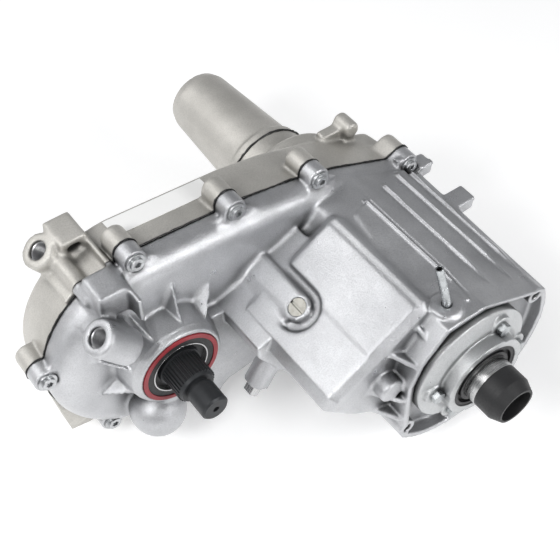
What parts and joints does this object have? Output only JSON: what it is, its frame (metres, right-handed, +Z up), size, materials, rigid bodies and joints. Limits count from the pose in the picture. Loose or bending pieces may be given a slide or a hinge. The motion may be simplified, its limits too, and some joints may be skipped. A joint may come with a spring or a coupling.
{
  "type": "transfer case",
  "caption": "Chain-drive two-speed transfer case with split aluminium housing, planetary reduction, offset front output and tail extension",
  "frame": {"origin": "input shaft axis where it crosses the adapter flange face", "axes": "+Y from the input end to the tail along the shafts, +X from the front output axis to the input axis, +Z up through the roof of the range housing"},
  "size_m": [0.4643, 0.5242, 0.2556],
  "materials": {
    "cast_aluminium": "satin cast",
    "machined_steel": "machined",
    "gear_steel": "ground",
    "dark_steel": "black oxide",
    "zinc_steel": "zinc plated",
    "bearing_steel": "polished",
    "bronze": "machined",
    "black_rubber": "matte",
    "red_rubber": "matte",
    "sealant": "satin",
    "white_film": "satin",
    "green_plastic": "satin",
    "ferrite": "matte"
  },
  "bodies": {
    "housing": {"front_case": "cast_aluminium", "rear_case": "cast_aluminium", "extension_housing": "cast_aluminium", "input_bearing_retainer": "cast_aluminium", "case_sealant": "sealant", "blank_tag": "white_film", "retainer_bolts": "zinc_steel", "input_seal": "black_rubber", "input_bearing": "bearing_steel", "annulus_gear": "gear_steel", "drive_chain": "dark_steel", "oil_pump": "cast_aluminium", "pump_pickup": "machined_steel", "oil_magnet": "ferrite", "mainshaft_rear_bearing": "bearing_steel", "tail_bushing": "bronze", "tail_seal": "black_rubber", "tail_plug": "green_plastic", "extension_bolts": "zinc_steel", "front_output_seal_case": "red_rubber", "front_output_seal": "black_rubber", "front_output_seal_ring": "machined_steel", "front_output_bearing": "bearing_steel", "output_needle_bearing": "bearing_steel", "shift_rail": "machined_steel", "selector_seal": "black_rubber", "detent_plug": "zinc_steel", "detent_spring": "machined_steel", "vent_tube": "zinc_steel", "case_bolts": "zinc_steel", "case_dowels": "machined_steel", "fill_plug": "zinc_steel", "drain_plug": "zinc_steel"},
    "input_train": {"input_shaft": "machined_steel", "pilot_bushing": "bronze", "input_cap": "black_rubber", "sun_gear": "gear_steel"},
    "planet_cage": {"planet_carrier": "gear_steel", "planet_pins": "bearing_steel"},
    "planet_1": {"planet_gear_1": "gear_steel"},
    "planet_2": {"planet_gear_2": "gear_steel"},
    "planet_3": {"planet_gear_3": "gear_steel"},
    "planet_4": {"planet_gear_4": "gear_steel"},
    "main_train": {"mainshaft": "machined_steel", "mode_hub": "gear_steel", "sprocket_spacer": "machined_steel", "pump_rotor": "gear_steel"},
    "range_clutch": {"range_hub": "gear_steel"},
    "mode_clutch": {"mode_sleeve": "gear_steel"},
    "chain_driver": {"drive_sprocket": "gear_steel"},
    "front_output": {"front_output_shaft": "dark_steel", "driven_sprocket": "gear_steel"},
    "selector": {"selector_shaft": "machined_steel"},
    "range_shift_fork": {"range_fork": "cast_aluminium"},
    "mode_shift_fork": {"mode_fork": "cast_aluminium"},
    "detent": {"detent_plunger": "machined_steel"}
  },
  "joints": [
    {"name": "input_spin", "type": "hinge", "parent": "housing", "child": "input_train", "pos_m": [0, 0, 0], "axis": [0, 1, 0], "continuous": true},
    {"name": "carrier_spin", "type": "hinge", "parent": "housing", "child": "planet_cage", "pos_m": [0, 0.04, 0], "axis": [0, 1, 0], "continuous": true},
    {"name": "planet_1_spin", "type": "hinge", "parent": "planet_cage", "child": "planet_1", "pos_m": [0.03366, 0.041, 0.03366], "axis": [0, 1, 0], "continuous": true},
    {"name": "planet_2_spin", "type": "hinge", "parent": "planet_cage", "child": "planet_2", "pos_m": [-0.03366, 0.041, 0.03366], "axis": [0, 1, 0], "continuous": true},
    {"name": "planet_3_spin", "type": "hinge", "parent": "planet_cage", "child": "planet_3", "pos_m": [-0.03366, 0.041, -0.03366], "axis": [0, 1, 0], "continuous": true},
    {"name": "planet_4_spin", "type": "hinge", "parent": "planet_cage", "child": "planet_4", "pos_m": [0.03366, 0.041, -0.03366], "axis": [0, 1, 0], "continuous": true},
    {"name": "mainshaft_spin", "type": "hinge", "parent": "housing", "child": "main_train", "pos_m": [0, 0.2, 0], "axis": [0, 1, 0], "continuous": true},
    {"name": "chain_driver_spin", "type": "hinge", "parent": "housing", "child": "chain_driver", "pos_m": [0, 0.216, 0], "axis": [0, 1, 0], "continuous": true},
    {"name": "front_output_spin", "type": "hinge", "parent": "housing", "child": "front_output", "pos_m": [-0.22, 0.2, 0], "axis": [0, 1, 0], "continuous": true},
    {"name": "selector_turn", "type": "hinge", "parent": "housing", "child": "selector", "pos_m": [-0.144, 0.13, -0.046], "axis": [0.5505, 0, 0.8348], "range_deg": [0, 28.48]},
    {"name": "range_fork_slide", "type": "slide", "parent": "housing", "child": "range_shift_fork", "axis": [0, 1, 0], "range_m": [0, 0.013]},
    {"name": "range_hub_slide", "type": "slide", "parent": "main_train", "child": "range_clutch", "axis": [0, 1, 0], "range_m": [0, 0.013]},
    {"name": "mode_fork_slide", "type": "slide", "parent": "housing", "child": "mode_shift_fork", "axis": [0, -1, 0], "range_m": [0, 0.014]},
    {"name": "mode_sleeve_slide", "type": "slide", "parent": "main_train", "child": "mode_clutch", "axis": [0, -1, 0], "range_m": [0, 0.014]},
    {"name": "detent_slide", "type": "slide", "parent": "housing", "child": "detent", "axis": [-0.5059, 0, 0.8626], "range_m": [0, 0.002], "stiffness_N_per_m": 2000, "springref_m": -0.004}
  ],
  "couplings": [
    {"joint": "carrier_spin", "follows": "input_spin", "ratio": 0.36765},
    {"joint": "planet_1_spin", "follows": "input_spin", "ratio": -1.7565},
    {"joint": "planet_2_spin", "follows": "input_spin", "ratio": -1.7565},
    {"joint": "planet_3_spin", "follows": "input_spin", "ratio": -1.7565},
    {"joint": "planet_4_spin", "follows": "input_spin", "ratio": -1.7565},
    {"joint": "mainshaft_spin", "follows": "input_spin", "ratio": 1},
    {"joint": "chain_driver_spin", "follows": "input_spin", "ratio": 1},
    {"joint": "front_output_spin", "follows": "input_spin", "ratio": 1},
    {"joint": "range_fork_slide", "follows": "range_hub_slide", "ratio": 1},
    {"joint": "selector_turn", "follows": "range_hub_slide", "rad_per_m": 38.24},
    {"joint": "mode_sleeve_slide", "follows": "mode_fork_slide", "ratio": 1}
  ]
}
